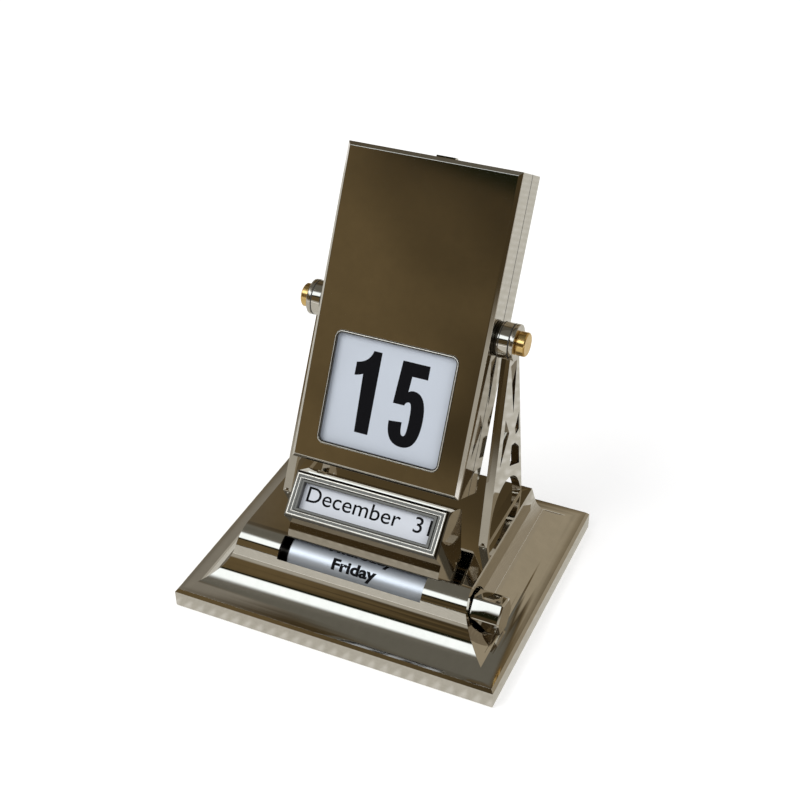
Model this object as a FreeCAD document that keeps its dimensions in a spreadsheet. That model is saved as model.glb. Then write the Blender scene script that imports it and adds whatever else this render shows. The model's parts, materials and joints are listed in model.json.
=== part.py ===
import FreeCAD, Part
import math
import os
import re

import Sketcher

# Driving dimensions in millimetres, and angles in degrees
SIZES = {
    # The cast base
    "deck_width": 74.6, "deck_margin": 2.65, "edge_top": 5.8, "edge_bottom": 0.5, "edge_bevel": 0.8,
    "cove_floor": 6.8, "cove_radius": 14.2, "cove_inset": 0.4, "cove_top": 19.2,
    "rim_inset": 15.2, "deck_height": 22.9, "cast_wall": 1.4, "edge_wall": 3.0,
    # The half-round housing of the weekday roller, its window and its knob recess
    "roller_inset": 21.7, "housing_radius": 8.0, "housing_meet": 18.6, "day_window_length": 47.4,
    "day_window_width": 7.6, "day_window_tilt": 50, "scoop_radius": 6.5, "scoop_inset": 1.0,
    "scoop_wall": 1.3, "scoop_end_wall": 2.0, "web_left": 27.4, "web_thickness": 2.0,
    "web_reach": 6.0,
    # What closes the base from below
    "plate_thickness": 1.2, "plate_bottom": 1.0, "plate_gap": 0.2,
    "screw_side": 40, "screw_back": 32, "screw_shaft": 1.25, "screw_head": 2.3,
    "screw_length": 8, "post_radius": 3.0,
    # The towers
    "tower_margin": 2.6, "tower_thickness": 2.7, "tower_step": 0.46504, "tower_front": 4.3,
    "rail_height": 1.1, "arch_radius": 13.3, "arch_centre": 11.3,
    "peg_radius": 0.9, "peg_length": 3.4, "peg_inset": 1.15, "peg_root": 1.0,
    "nut_radius": 2.1, "nut_height": 1.4,
    # The pivot
    "case_clearance": 10.35, "case_foot": 2.46171, "boss_radius": 5.45, "pivot_gap": 1.0,
    "boss_thickness": 3.5, "bush_radius": 3.0, "pin_radius": 2.0, "running_gap": 0.05,
    "spacer_radius": 5.2, "washer_radius": 5.5, "washer_thickness": 1.4,
    "cap_radius": 3.65, "cap_length": 2.9, "cap_chamfer": 0.35, "pin_in_cap": 2.0,
    "flange_radius": 4.5, "flange_thickness": 1.0,
    # The flip case
    "case_lean": 28.14, "case_width": 54.8, "case_length": 96.1, "case_thickness": 18.6,
    "case_wall": 1.2, "front_shell_depth": 9.9, "seam_gap": 0.1, "case_bevel": 1.1,
    "window_width": 38.3, "window_low": 40.9, "window_high": 7.7, "window_corner": 1.6,
    "bead_width": 0.75, "bead_rise": 0.35, "bead_depth": 0.7, "bead_round": 0.25,
    "catch_width": 6.3, "catch_shift": 1.5, "catch_depth": 2.4, "catch_rise": 0.8,
    "catch_back": 1.6,
    # The date tiles and the plate between their two columns
    "tile_width": 44, "tile_height": 41, "tile_thickness": 0.8, "tile_pitch": 0.9,
    "tile_column": 8, "tile_gap": 0.3, "guide_thickness": 0.6, "guide_reach": 38,
    # The month holder and its cards
    "month_width": 50.4, "month_slope": 46.4, "month_face": 14.6, "month_front": 21.5,
    "month_low": 28.9, "month_foot": 17.2, "month_back": 1.3, "month_shoulder": 32.4,
    "month_crest": 34.0, "month_crest_depth": 3.1, "frame_thickness": 1.6,
    "frame_border": 3.3, "frame_side": 3.8, "frame_bevel": 0.7, "frame_bead": 0.9,
    "frame_bead_rise": 0.45, "card_width": 45.2, "card_height": 12.6, "card_thickness": 0.25,
    "card_pitch": 0.3, "card_count": 6, "card_floor": 1.0, "card_shift": 0.5,
    "card_slack": 0.6, "card_gap": 0.1, "holder_screw_side": 17, "holder_screw_depth": 8.5,
    "holder_screw_radius": 1.0, "holder_screw_head": 1.9, "holder_screw_up": 5.0,
    "holder_head_thickness": 1.2, "holder_screw_end": 0.5,
    # The weekday roller
    "drum_radius": 6.0, "drum_left": 21.3, "drum_right": 24.5, "label_thickness": 0.25,
    "label_inset": 0.3, "shaft_radius": 1.5, "shaft_tip": 0.8, "shaft_in_knob": 8.4,
    "roller_bush_radius": 2.6, "clip_radius": 3.2, "clip_thickness": 0.6, "clip_gap": 0.25,
    "knob_width": 10.45, "knob_gap": 1.6, "knob_length": 9.6, "knob_turn": 43,
    "knob_chamfer": 0.5,
}

# Corners of a tower's lattice openings: the share of the way from the front edge to the back edge,
# and the share of the way from the deck to the pivot
LATTICE = {
    "head": [(0.222, 0.868), (0.639, 0.572), (0.798, 0.868)],
    "drop": [(0.932, 0.533), (0.743, 0.467), (0.788, 0.423), (0.926, 0.428)],
    "sail": [(0.213, 0.598), (0.16, 0.365), (0.479, 0.49)],
    "pane": [(0.618, 0.394), (0.577, 0.283), (0.933, 0.211), (0.926, 0.318), (0.77, 0.378)],
}

# Sizes that follow from the driving ones
DERIVED = {
    "base_width": "(deck_width + rim_inset * 2)",
    "base_depth": "((pivot_depth + boss_radius + deck_margin + rim_inset) * 2)",
    "roller_depth": "(base_depth / 2 - roller_inset)",
    "roller_height": "(deck_height - housing_radius)",
    "scoop_floor": "(deck_width / 2 - scoop_inset)",
    "knob_start": "(scoop_floor + knob_gap)",
    "pivot_height": "(deck_height + case_clearance + case_length / 2)",
    "pivot_depth": "(case_length / 2 * sin(case_lean) - case_foot)",
    "boss_inner": "(case_width / 2 + pivot_gap)",
    "tower_outer": "(deck_width / 2 - tower_margin)",
    "tower_lean": "(atan((tower_outer - boss_inner - boss_thickness + tower_step)"
                  " / (pivot_height - deck_height)) / 1 deg)",
}


def any_of(names):
    return re.compile(r"\b(" + "|".join(sorted(names, key=len, reverse=True)) + r")\b")


WORDS = any_of(SIZES)
DERIVED_WORDS = any_of(DERIVED)
Y_AXIS = FreeCAD.Vector(0, 1, 0)
Z_AXIS = FreeCAD.Vector(0, 0, 1)
AXIS = ("0 - roller_depth", "roller_height")

doc = FreeCAD.newDocument("desk_calendar")
sheet = doc.addObject("Spreadsheet::Sheet", "Sizes")
nodes = []


def fill_sheet():
    for row, (alias, size) in enumerate(SIZES.items(), start=1):
        sheet.set("A%d" % row, alias)
        sheet.set("B%d" % row, str(size))
        sheet.setAlias("B%d" % row, alias)
    doc.recompute()


def bound(rule):
    """The rule with derived sizes written out, and each size name pointing at its cell."""
    while DERIVED_WORDS.search(rule):
        rule = DERIVED_WORDS.sub(lambda found: DERIVED[found.group(0)], rule)
    return WORDS.sub(r"Sizes.\1", rule)


def value(rule):
    """What the rule comes to now."""
    return float(sheet.evalExpression(bound(rule)))


def bind(thing, prop, rule):
    thing.setExpression(prop, bound(rule))


def node(thing, name):
    """Marks a finished sub-part, which is written under this name."""
    thing.Label = name
    nodes.append(thing)
    return thing


def place(thing, x="0", y="0", z="0"):
    for prop, rule in zip("xyz", (x, y, z)):
        bind(thing, "Placement.Base." + prop, rule)
    return thing


def box(name, low, high):
    """A block between two corners given as rules."""
    block = doc.addObject("Part::Box", name)
    for prop, a, b in zip(("Length", "Width", "Height"), low, high):
        bind(block, prop, "(%s) - (%s)" % (b, a))
    return place(block, *low)


def rod(name, radius, start, length, axis=("0", "0")):
    """A cylinder along X, its axis at the given depth and height."""
    bar = doc.addObject("Part::Cylinder", name)
    bar.Placement.Rotation = FreeCAD.Rotation(Y_AXIS, 90)
    bind(bar, "Radius", radius)
    bind(bar, "Height", length)
    return place(bar, start, axis[0], axis[1])


def post(name, radius, x, y, low, length):
    """A cylinder along Z."""
    bar = doc.addObject("Part::Cylinder", name)
    bind(bar, "Radius", radius)
    bind(bar, "Height", length)
    return place(bar, x, y, low)


def countersink(name, head, shaft, x, y, low):
    """The cone of a screw's head, its wide end below."""
    cone = doc.addObject("Part::Cone", name)
    bind(cone, "Radius1", head)
    bind(cone, "Radius2", shaft)
    bind(cone, "Height", "%s - %s" % (head, shaft))
    return place(cone, x, y, low)


def fuse(name, parts):
    whole = doc.addObject("Part::MultiFuse", name)
    whole.Shapes = parts
    return whole


def common(name, parts):
    shared = doc.addObject("Part::MultiCommon", name)
    shared.Shapes = parts
    return shared


def group(name, parts):
    """Like pieces that stay separate solids."""
    several = doc.addObject("Part::Compound", name)
    several.Links = parts
    return several


def cut(name, base, tool):
    rest = doc.addObject("Part::Cut", name)
    rest.Base = base
    rest.Tool = tool
    return rest


def tube(name, radius, bore, start, length, axis=("0", "0")):
    """A ring along X."""
    outside = rod(name + "_outside", radius, start, length, axis)
    inside = rod(name + "_bore", bore, start, length, axis)
    return cut(name, outside, inside)


def body(name):
    return doc.addObject("PartDesign::Body", name)


def arc_between(start, end, radius, turn):
    """The short arc of this radius from start to end, to the left (1) or to the right (-1)."""
    chord = end - start
    half = chord.Length / 2
    side = FreeCAD.Vector(-chord.y, chord.x, 0).normalize()
    rise = math.sqrt(max(radius * radius - half * half, 0))
    centre = (start + end) / 2 + side * (turn * rise)
    first, last = (start, end) if turn > 0 else (end, start)
    a = math.atan2(first.y - centre.y, first.x - centre.x)
    b = math.atan2(last.y - centre.y, last.x - centre.x)
    return Part.ArcOfCircle(Part.Circle(centre, Z_AXIS, radius), a, b)


def outline(owner, name, role, path, offset="0"):
    """A closed sketch on an origin plane. A step of the path is (x, y) for a straight run to that
    point, or (x, y, radius, turn) for an arc to it, and every number is a rule."""
    sketch = owner.newObject("Sketcher::SketchObject", name)
    plane = [item for item in owner.Origin.OriginFeatures if item.Role == role][0]
    sketch.AttachmentSupport = [(plane, "")]
    sketch.MapMode = "FlatFace"
    bind(sketch, "AttachmentOffset.Base.z", offset)
    spots = [FreeCAD.Vector(value(step[0]), value(step[1]), 0) for step in path]
    starts, ends = [], []
    for index, step in enumerate(path):
        before, here = spots[index - 1], spots[index]
        if len(step) == 2:
            sketch.addGeometry(Part.LineSegment(before, here), False)
        else:
            sketch.addGeometry(arc_between(before, here, value(step[2]), step[3]), False)
        forward = len(step) == 2 or step[3] > 0
        starts.append(1 if forward else 2)
        ends.append(2 if forward else 1)
    for index, step in enumerate(path):
        joint = Sketcher.Constraint("Coincident", index - 1 if index else len(path) - 1,
                                    ends[index - 1], index, starts[index])
        sketch.addConstraint(joint)
        sizes = [("DistanceX", step[0]), ("DistanceY", step[1])]
        for kind, rule in sizes:
            made = sketch.addConstraint(
                Sketcher.Constraint(kind, -1, 1, index, ends[index], value(rule)))
            bind(sketch, "Constraints[%d]" % made, rule)
        if len(step) == 4:
            made = sketch.addConstraint(Sketcher.Constraint("Radius", index, value(step[2])))
            bind(sketch, "Constraints[%d]" % made, step[2])
    return sketch


def pad(owner, sketch, length):
    """Grows the sketch along its normal."""
    feature = owner.newObject("PartDesign::Pad", sketch.Name + "_pad")
    feature.Profile = sketch
    bind(feature, "Length", length)
    doc.recompute()
    return feature


def pocket(owner, sketch, length, along_normal=False):
    """Cuts against the sketch's normal, or along it."""
    before = owner.Shape.Volume
    feature = owner.newObject("PartDesign::Pocket", sketch.Name + "_pocket")
    feature.Profile = sketch
    bind(feature, "Length", length)
    feature.Reversed = along_normal
    doc.recompute()
    if owner.Shape.Volume > before - 1e-6:
        raise RuntimeError(sketch.Name + " cuts nothing")
    return feature


def bevel(owner, test, size):
    """Chamfers the edges of the latest feature whose two ends pass the test."""
    latest = owner.Tip
    names = []
    for index, edge in enumerate(latest.Shape.Edges, start=1):
        ends = (edge.valueAt(edge.FirstParameter), edge.valueAt(edge.LastParameter))
        if all(test(end) for end in ends):
            names.append("Edge%d" % index)
    feature = owner.newObject("PartDesign::Chamfer", owner.Name + "_bevel")
    feature.Base = (latest, names)
    bind(feature, "Size", size)
    doc.recompute()
    return feature


def rectangle(x_low, x_high, y_low, y_high):
    return [(x_low, y_low), (x_high, y_low), (x_high, y_high), (x_low, y_high)]


def soft_rectangle(x_low, x_high, y_low, y_high, corner):
    """A rectangle with rounded corners."""
    left, right = "(%s) + (%s)" % (x_low, corner), "(%s) - (%s)" % (x_high, corner)
    low, high = "(%s) + (%s)" % (y_low, corner), "(%s) - (%s)" % (y_high, corner)
    return [(right, y_low), (x_high, low, corner, 1), (x_high, high), (right, y_high, corner, 1),
            (left, y_high), (x_low, high, corner, 1), (x_low, low), (left, y_low, corner, 1)]


def mirrored(step):
    return ("0 - (%s)" % step[0], step[1])


# The cast base


def cove_section(half, inset, extra, low, edge, top, rim):
    """Corners of one side of the moulding, from its foot to the deck, for a skin that lies extra
    behind the visible surface."""
    reach = "(cove_radius + %s)" % extra
    centre = "(cove_floor + cove_radius)"
    start_in = "(%s + edge_bevel)" % inset
    start_up = "%s - sqrt(%s ^ 2 - (%s - cove_inset) ^ 2)" % (centre, reach, start_in)
    end_in = "(cove_inset + sqrt(%s ^ 2 - (%s - cove_top) ^ 2))" % (reach, centre)
    meet_in = "(cove_inset + sqrt(%s ^ 2 - (%s - housing_meet) ^ 2))" % (reach, centre)
    return {
        "foot": ("%s - %s" % (half, inset), low), "edge": ("%s - %s" % (half, inset), edge),
        "start": ("%s - %s" % (half, start_in), start_up),
        "end": ("%s - %s" % (half, end_in), "cove_top"), "rim": ("%s - (%s)" % (half, rim), top),
        "meet": ("%s - %s" % (half, meet_in), "housing_meet"), "reach": reach,
    }


def moulded_block(name, inset, extra, low, edge, top, rim, front_radius):
    """A block with the cove on all four sides, mitred at the corners, and the half-round front."""
    side = cove_section("base_width / 2", inset, extra, low, edge, top, rim)
    arc = (side["reach"], -1)
    across = body(name + "_across")
    path = [side["foot"], side["edge"], side["start"], side["end"] + arc, side["rim"],
            mirrored(side["rim"]), mirrored(side["end"]), mirrored(side["start"]) + arc,
            mirrored(side["edge"]), mirrored(side["foot"])]
    pad(across, outline(across, name + "_side", "XZ_Plane", path, "0 - base_depth / 2"),
        "base_depth")
    end = cove_section("base_depth / 2", inset, extra, low, edge, top, rim)
    lip = "0 - roller_depth - sqrt((%s) ^ 2 - (housing_meet - roller_height) ^ 2)" % front_radius
    along = body(name + "_along")
    path = [end["foot"], end["edge"], end["start"], end["end"] + arc, end["rim"],
            ("0 - roller_depth", top), (lip, "housing_meet", front_radius, 1),
            mirrored(end["meet"]),
            mirrored(end["start"]) + arc, mirrored(end["edge"]), mirrored(end["foot"])]
    pad(along, outline(along, name + "_end", "YZ_Plane", path, "0 - base_width / 2"),
        "base_width")
    return common(name, [across, along])


def corners(rule_x, rule_y):
    """The four places of a pattern that is even about the middle."""
    return [(sx + rule_x, sy + rule_y) for sx in ("", "0 - ") for sy in ("", "0 - ")]


def turned_box(name, origin, angle, low, high):
    """A block in a frame that is turned about X, with that frame's origin in depth and height."""
    block = doc.addObject("Part::Box", name)
    for prop, a, b in zip(("Length", "Width", "Height"), low, high):
        bind(block, prop, "(%s) - (%s)" % (b, a))
    block.Placement.Rotation = FreeCAD.Rotation(FreeCAD.Vector(1, 0, 0), value(angle))
    bind(block, "Placement.Rotation.Angle", "(%s) * 1 deg" % angle)
    cosine, sine = "cos(%s)" % angle, "sin(%s)" % angle
    place(block, low[0], "%s + (%s) * %s - (%s) * %s" % (origin[0], low[1], cosine, low[2], sine),
          "%s + (%s) * %s + (%s) * %s" % (origin[1], low[1], sine, low[2], cosine))
    return block


def peg_places():
    side = "tower_outer - tower_thickness / 2"
    front = "0 - tower_front + peg_inset"
    back = "pivot_depth + boss_radius - peg_inset"
    return [(sign + "(%s)" % side, depth) for sign in ("", "0 - ") for depth in (front, back)]


def holder_screw_places():
    return [(sign + "holder_screw_side", "0 - holder_screw_depth") for sign in ("", "0 - ")]


def make_casting():
    outer = moulded_block("casting_outer", "0", "0", "edge_bottom", "edge_top", "deck_height",
                          "rim_inset", "housing_radius")
    inner = moulded_block("casting_inner", "edge_wall", "cast_wall", "edge_bottom - 1",
                          "edge_top - cast_wall", "deck_height - cast_wall",
                          "rim_inset + cast_wall", "housing_radius - cast_wall")
    plate_top = "plate_bottom + plate_thickness"
    cup_start = "scoop_floor - scoop_end_wall"
    fillers = [rod("knob_cup", "scoop_radius + scoop_wall", cup_start,
                   "base_width / 2 - (%s)" % cup_start, AXIS)]
    fillers.append(box("left_web",
                       ("0 - web_left - web_thickness", "0 - roller_depth - web_reach",
                        "roller_height - web_reach"),
                       ("0 - web_left", "0 - roller_depth + web_reach", "deck_height")))
    for index, (x, y) in enumerate(corners("screw_side", "screw_back")):
        fillers.append(post("screw_post%d" % index, "post_radius", x, y, plate_top,
                            "deck_height"))
    inside = common("casting_ribs", [outer, fuse("casting_fillers", fillers)])
    solid = fuse("casting_solid", [cut("casting_shell", outer, inner), inside])
    half = "day_window_length / 2"
    tools = [
        rod("knob_scoop", "scoop_radius", "scoop_floor", "base_width / 2", AXIS),
        rod("roller_bore", "roller_bush_radius", "0 - web_left - web_thickness - 1",
            "web_left + web_thickness + scoop_floor + 2", AXIS),
        turned_box("day_window", AXIS, "0 - day_window_tilt",
                   ("0 - " + half, "0 - housing_radius * 2", "0 - day_window_width / 2"),
                   (half, "0 - drum_radius / 2", "day_window_width / 2")),
    ]
    for index, (x, y) in enumerate(corners("screw_side", "screw_back")):
        tools.append(post("screw_pilot%d" % index, "screw_shaft", x, y, "edge_bottom",
                          "plate_bottom + screw_length - edge_bottom"))
    for index, (x, y) in enumerate(peg_places()):
        tools.append(post("peg_hole%d" % index, "peg_radius", x, y,
                          "deck_height - cast_wall - 1", "cast_wall + 2"))
    for index, (x, y) in enumerate(holder_screw_places()):
        tools.append(post("holder_hole%d" % index, "holder_screw_radius", x, y,
                          "deck_height - cast_wall - 1", "cast_wall + 2"))
    node(cut("casting", solid, fuse("casting_tools", tools)), "base_casting")


def make_bottom():
    side = "base_width / 2 - edge_wall - plate_gap"
    end = "base_depth / 2 - edge_wall - plate_gap"
    blank = box("plate_blank", ("0 - (%s)" % side, "0 - (%s)" % end, "plate_bottom"),
                (side, end, "plate_bottom + plate_thickness"))
    sinks, screws = [], []
    for index, (x, y) in enumerate(corners("screw_side", "screw_back")):
        for target, word in ((sinks, "sink"), (screws, "screw")):
            head = countersink("%s_head%d" % (word, index), "screw_head", "screw_shaft", x, y,
                               "plate_bottom")
            shaft = post("%s_shaft%d" % (word, index), "screw_shaft", x, y, "plate_bottom",
                         "screw_length")
            target.append(fuse("%s%d" % (word, index), [head, shaft]))
    node(cut("plate", blank, fuse("plate_sinks", sinks)), "bottom_plate")
    node(group("screws", screws), "base_screws")
    node(box("felt", ("0 - (%s)" % side, "0 - (%s)" % end, "0"), (side, end, "plate_bottom")),
         "felt_pad")


# The towers


def tower_point(across, up):
    """A point of a tower's plate, from its shares of the width and the height."""
    rise = "(pivot_height - deck_height)"
    front = "(0 - tower_front + (pivot_depth + tower_front) * %s)" % up
    back = "(pivot_depth + boss_radius)"
    return ("%s + (%s - %s) * %s" % (front, back, front, across), "%s * %s" % (rise, up))


def make_tower(name, sign):
    """One pierced trestle; sign is "" on the right and "0 - " on the left."""
    plate = body(name + "_plate")
    start = "0 - tower_thickness" if sign == "" else "0"
    sunk = "0 - tower_thickness"
    path = [(tower_point(0, 0)[0], sunk), (tower_point(1, 0)[0], sunk), tower_point(1, 1),
            tower_point(0, 1), tower_point(0, 0)]
    pad(plate, outline(plate, name + "_profile", "YZ_Plane", path, start), "tower_thickness")
    end = "0" if sign == "" else "tower_thickness"
    for word, spots in LATTICE.items():
        path = [tower_point(across, up) for across, up in spots]
        pocket(plate, outline(plate, name + "_" + word, "YZ_Plane", path, end), "tower_thickness")
    reach = "sqrt(arch_radius ^ 2 - rail_height ^ 2)"
    arch = [("arch_centre + " + reach, "rail_height"),
            ("arch_centre", "arch_radius", "arch_radius", 1),
            ("arch_centre - " + reach, "rail_height", "arch_radius", 1)]
    pocket(plate, outline(plate, name + "_arch", "YZ_Plane", arch, end), "tower_thickness")
    lean = "tower_lean" if sign else "0 - tower_lean"
    plate.Placement.Rotation = FreeCAD.Rotation(Y_AXIS, value(lean))
    bind(plate, "Placement.Rotation.Angle", "(%s) * 1 deg" % lean)
    place(plate, sign + "tower_outer", "0", "deck_height")
    below = box(name + "_below", ("0 - base_width", "0 - base_depth", "0"),
                ("base_width", "base_depth", "deck_height"))
    pivot = ("pivot_depth", "pivot_height")
    boss_start = "boss_inner" if sign == "" else "0 - boss_inner - boss_thickness"
    parts = [cut(name + "_trestle", plate, below),
             rod(name + "_boss", "boss_radius", boss_start, "boss_thickness", pivot)]
    for index, (x, y) in enumerate(peg_places()[:2] if sign == "" else peg_places()[2:]):
        parts.append(post("%s_peg%d" % (name, index), "peg_radius", x, y,
                          "deck_height - peg_length", "peg_length + peg_root"))
    bore = rod(name + "_bore", "bush_radius", boss_start, "boss_thickness", pivot)
    node(cut(name, fuse(name + "_whole", parts), bore), name)


def make_nuts():
    nuts = []
    for index, (x, y) in enumerate(peg_places()):
        blank = doc.addObject("Part::Prism", "nut_blank%d" % index)
        blank.Polygon = 6
        bind(blank, "Circumradius", "nut_radius")
        bind(blank, "Height", "nut_height")
        low = "deck_height - cast_wall - nut_height"
        place(blank, x, y, low)
        nuts.append(cut("nut%d" % index, blank,
                        post("nut_hole%d" % index, "peg_radius", x, y, low, "nut_height")))
    node(group("nuts", nuts), "tower_nuts")


def make_pivot_bushes():
    pivot = ("pivot_depth", "pivot_height")
    for name, start in (("pivot_bush_right", "boss_inner"),
                        ("pivot_bush_left", "0 - boss_inner - boss_thickness")):
        node(tube(name, "bush_radius", "pin_radius + running_gap", start, "boss_thickness", pivot),
             name)


# The month holder


MONTH_ORIGIN = ("0 - month_front", "month_low")
MONTH_ANGLE = "0 - month_slope"


def month_point(depth, up):
    """A point of the holder's section, from the sloping front's own depth and height."""
    sine, cosine = "sin(month_slope)", "cos(month_slope)"
    return ("0 - month_front + (%s) * %s + (%s) * %s" % (depth, cosine, up, sine),
            "month_low - (%s) * %s + (%s) * %s" % (depth, sine, up, cosine))


def make_month_holder():
    block = body("holder_block")
    path = [month_point("frame_thickness", "0"), ("0 - month_foot", "deck_height"),
            ("0 - month_back", "deck_height"), ("0 - month_back", "month_shoulder"),
            ("0 - month_crest_depth", "month_crest"), month_point("frame_thickness", "month_face")]
    pad(block, outline(block, "holder_section", "YZ_Plane", path, "0 - month_width / 2"),
        "month_width")
    half = "card_width / 2 + card_slack"
    depth = "frame_thickness + card_pitch * card_count + card_pitch + card_gap * 2"
    slot = turned_box("card_slot", MONTH_ORIGIN, MONTH_ANGLE,
                      ("0 - (%s)" % half, "frame_thickness - 1", "card_floor"),
                      (half, depth, "month_face * 2"))
    tools = [slot]
    for index, (x, y) in enumerate(holder_screw_places()):
        tools.append(post("holder_pilot%d" % index, "holder_screw_radius", x, y, "deck_height",
                          "holder_screw_up"))
    node(cut("holder", block, fuse("holder_tools", tools)), "month_holder")


def make_month_frame():
    frame = body("frame")
    half = "month_width / 2"
    path = rectangle("0 - " + half, half, "0", "month_face")
    pad(frame, outline(frame, "frame_face", "XZ_Plane", path, "0 - frame_thickness"),
        "frame_thickness")
    bevel(frame, lambda end: abs(end.y) < 1e-6, "frame_bevel")
    inner = ("0 - %s + frame_side" % half, half + " - frame_side", "frame_border",
             "month_face - frame_border")
    outer = (inner[0] + " - frame_bead", inner[1] + " + frame_bead", inner[2] + " - frame_bead",
             inner[3] + " + frame_bead")
    pad(frame, outline(frame, "frame_bead_outline", "XZ_Plane", rectangle(*outer),
                       "0 - frame_thickness / 2"), "frame_thickness / 2 + frame_bead_rise")
    pocket(frame, outline(frame, "frame_window", "XZ_Plane", rectangle(*inner),
                          "0 - frame_thickness"), "frame_thickness * 2", True)
    frame.Placement.Rotation = FreeCAD.Rotation(FreeCAD.Vector(1, 0, 0), value(MONTH_ANGLE))
    bind(frame, "Placement.Rotation.Angle", "(%s) * 1 deg" % MONTH_ANGLE)
    place(frame, "0", *MONTH_ORIGIN)
    node(frame, "month_frame")


def month_card(name, index):
    """A card, counted from the window backwards."""
    near = "frame_thickness + card_gap + card_pitch * %d" % index
    left = "card_shift - card_width / 2"
    return turned_box(name, MONTH_ORIGIN, MONTH_ANGLE, (left, near, "card_floor"),
                      (left + " + card_width", near + " + card_thickness",
                       "card_floor + card_height"))


def make_month_cards():
    node(month_card("front_card", 0), "month_card")
    count = int(value("card_count"))
    stored = [month_card("stored_card%d" % index, index) for index in range(1, count + 1)]
    node(group("stored_cards", stored), "month_card_stack")


def make_holder_screws():
    screws = []
    under = "deck_height - cast_wall"
    for index, (x, y) in enumerate(holder_screw_places()):
        head = post("holder_screw_head%d" % index, "holder_screw_head", x, y,
                    under + " - holder_head_thickness", "holder_head_thickness")
        shaft = post("holder_screw_shaft%d" % index, "holder_screw_radius", x, y, under,
                     "cast_wall + holder_screw_up - holder_screw_end")
        screws.append(fuse("holder_screw%d" % index, [head, shaft]))
    node(group("holder_screws", screws), "month_holder_screws")


# The flip case, in its own frame: Y from front to back, Z along its length


def on_case(thing, name, turn=0):
    """Sets a piece of the case on the pivot line, leaning back, turned over where turn is 180."""
    angle = "%d - case_lean" % turn
    thing.Placement.Rotation = FreeCAD.Rotation(FreeCAD.Vector(1, 0, 0), value(angle))
    bind(thing, "Placement.Rotation.Angle", "(%s) * 1 deg" % angle)
    place(thing, "0", "pivot_depth", "pivot_height")
    return node(thing, name)


def make_shell(name, depth, turn):
    """Half of the case: a tray whose face has the window."""
    tray = body(name + "_tray")
    half, end = "case_width / 2", "case_length / 2"
    open_side = "case_thickness / 2 - (%s)" % depth
    path = rectangle("0 - " + half, half, "0 - " + end, end)
    pad(tray, outline(tray, name + "_face", "XZ_Plane", path, open_side), depth)
    face = value("0 - case_thickness / 2")
    bevel(tray, lambda point: abs(point.y - face) < 1e-6, "case_bevel")
    hollow = rectangle("0 - %s + case_wall" % half, half + " - case_wall",
                       "0 - %s + case_wall" % end, end + " - case_wall")
    pocket(tray, outline(tray, name + "_hollow", "XZ_Plane", hollow, open_side),
           "(%s) - case_wall" % depth, True)
    hole = soft_rectangle("0 - window_width / 2 - bead_width", "window_width / 2 + bead_width",
                          "0 - window_low - bead_width", "0 - window_high + bead_width",
                          "window_corner + bead_width")
    pocket(tray, outline(tray, name + "_window", "XZ_Plane", hole, "case_thickness / 2"),
           "case_wall * 1.5")
    bores = rod(name + "_pin_bores", "pin_radius", "0 - case_width", "case_width * 2")
    on_case(cut(name, tray, bores), name, turn)


def make_bezel(name, turn):
    """The bead round a window."""
    bead = body(name + "_bead")
    outer = soft_rectangle("0 - window_width / 2 - bead_width", "window_width / 2 + bead_width",
                           "0 - window_low - bead_width", "0 - window_high + bead_width",
                           "window_corner + bead_width")
    inner = soft_rectangle("0 - window_width / 2", "window_width / 2", "0 - window_low",
                           "0 - window_high", "window_corner")
    back = "case_thickness / 2 - bead_depth"
    depth = "bead_depth + bead_rise"
    pad(bead, outline(bead, name + "_outer", "XZ_Plane", outer, back), depth)
    pocket(bead, outline(bead, name + "_inner", "XZ_Plane", inner, back), depth, True)
    front = value("0 - case_thickness / 2 - bead_rise")
    bevel(bead, lambda end: abs(end.y - front) < 1e-6, "bead_round")
    on_case(bead, name, turn)


def sided(side, start, length):
    """The start of a length along X on the right, or its mirror image on the left."""
    return start if side == "right" else "0 - (%s) - (%s)" % (start, length)


def make_pivot(side):
    """The pin, spacer, washer and cap on one side of the case."""
    wall_in = "case_width / 2 - case_wall"
    flange = rod("flange_" + side, "flange_radius",
                 sided(side, wall_in + " - flange_thickness", "flange_thickness"),
                 "flange_thickness")
    washer_start = "boss_inner + boss_thickness + running_gap"
    cap_start = washer_start + " + washer_thickness"
    pin_length = "%s + pin_in_cap - (%s)" % (cap_start, wall_in)
    shank = rod("shank_" + side, "pin_radius", sided(side, wall_in, pin_length), pin_length)
    on_case(fuse("pin_" + side, [flange, shank]), "pivot_pin_" + side)
    gap = "boss_inner - running_gap - case_width / 2"
    on_case(tube("spacer_" + side, "spacer_radius", "pin_radius",
                 sided(side, "case_width / 2", gap), gap), "inner_spacer_" + side)
    on_case(tube("washer_" + side, "washer_radius", "pin_radius",
                 sided(side, washer_start, "washer_thickness"), "washer_thickness"),
            "outer_washer_" + side)
    blank = rod("cap_blank_" + side, "cap_radius", sided(side, cap_start, "cap_length"),
                "cap_length")
    rounded = doc.addObject("Part::Chamfer", "cap_round_" + side)
    rounded.Base = blank
    doc.recompute()
    size = value("cap_chamfer")
    rounded.Edges = [(index, size, size) for index, edge in enumerate(blank.Shape.Edges, start=1)
                     if edge.Closed]
    hole = rod("cap_hole_" + side, "pin_radius", sided(side, cap_start, "pin_in_cap"),
               "pin_in_cap")
    on_case(cut("cap_" + side, rounded, hole), "brass_cap_" + side)


def make_guide_and_catch():
    half = "case_width / 2 - case_wall - flange_thickness"
    on_case(box_body("guide", ("0 - (%s)" % half, "0 - guide_thickness / 2", "0 - guide_reach"),
                     (half, "guide_thickness / 2", "guide_reach")), "tile_guide")
    back = "case_thickness / 2 - catch_back"
    on_case(box_body("catch", ("0 - catch_shift - catch_width / 2", back + " - catch_depth",
                               "case_length / 2"),
                     ("0 - catch_shift + catch_width / 2", back, "case_length / 2 + catch_rise")),
            "case_catch")


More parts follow.
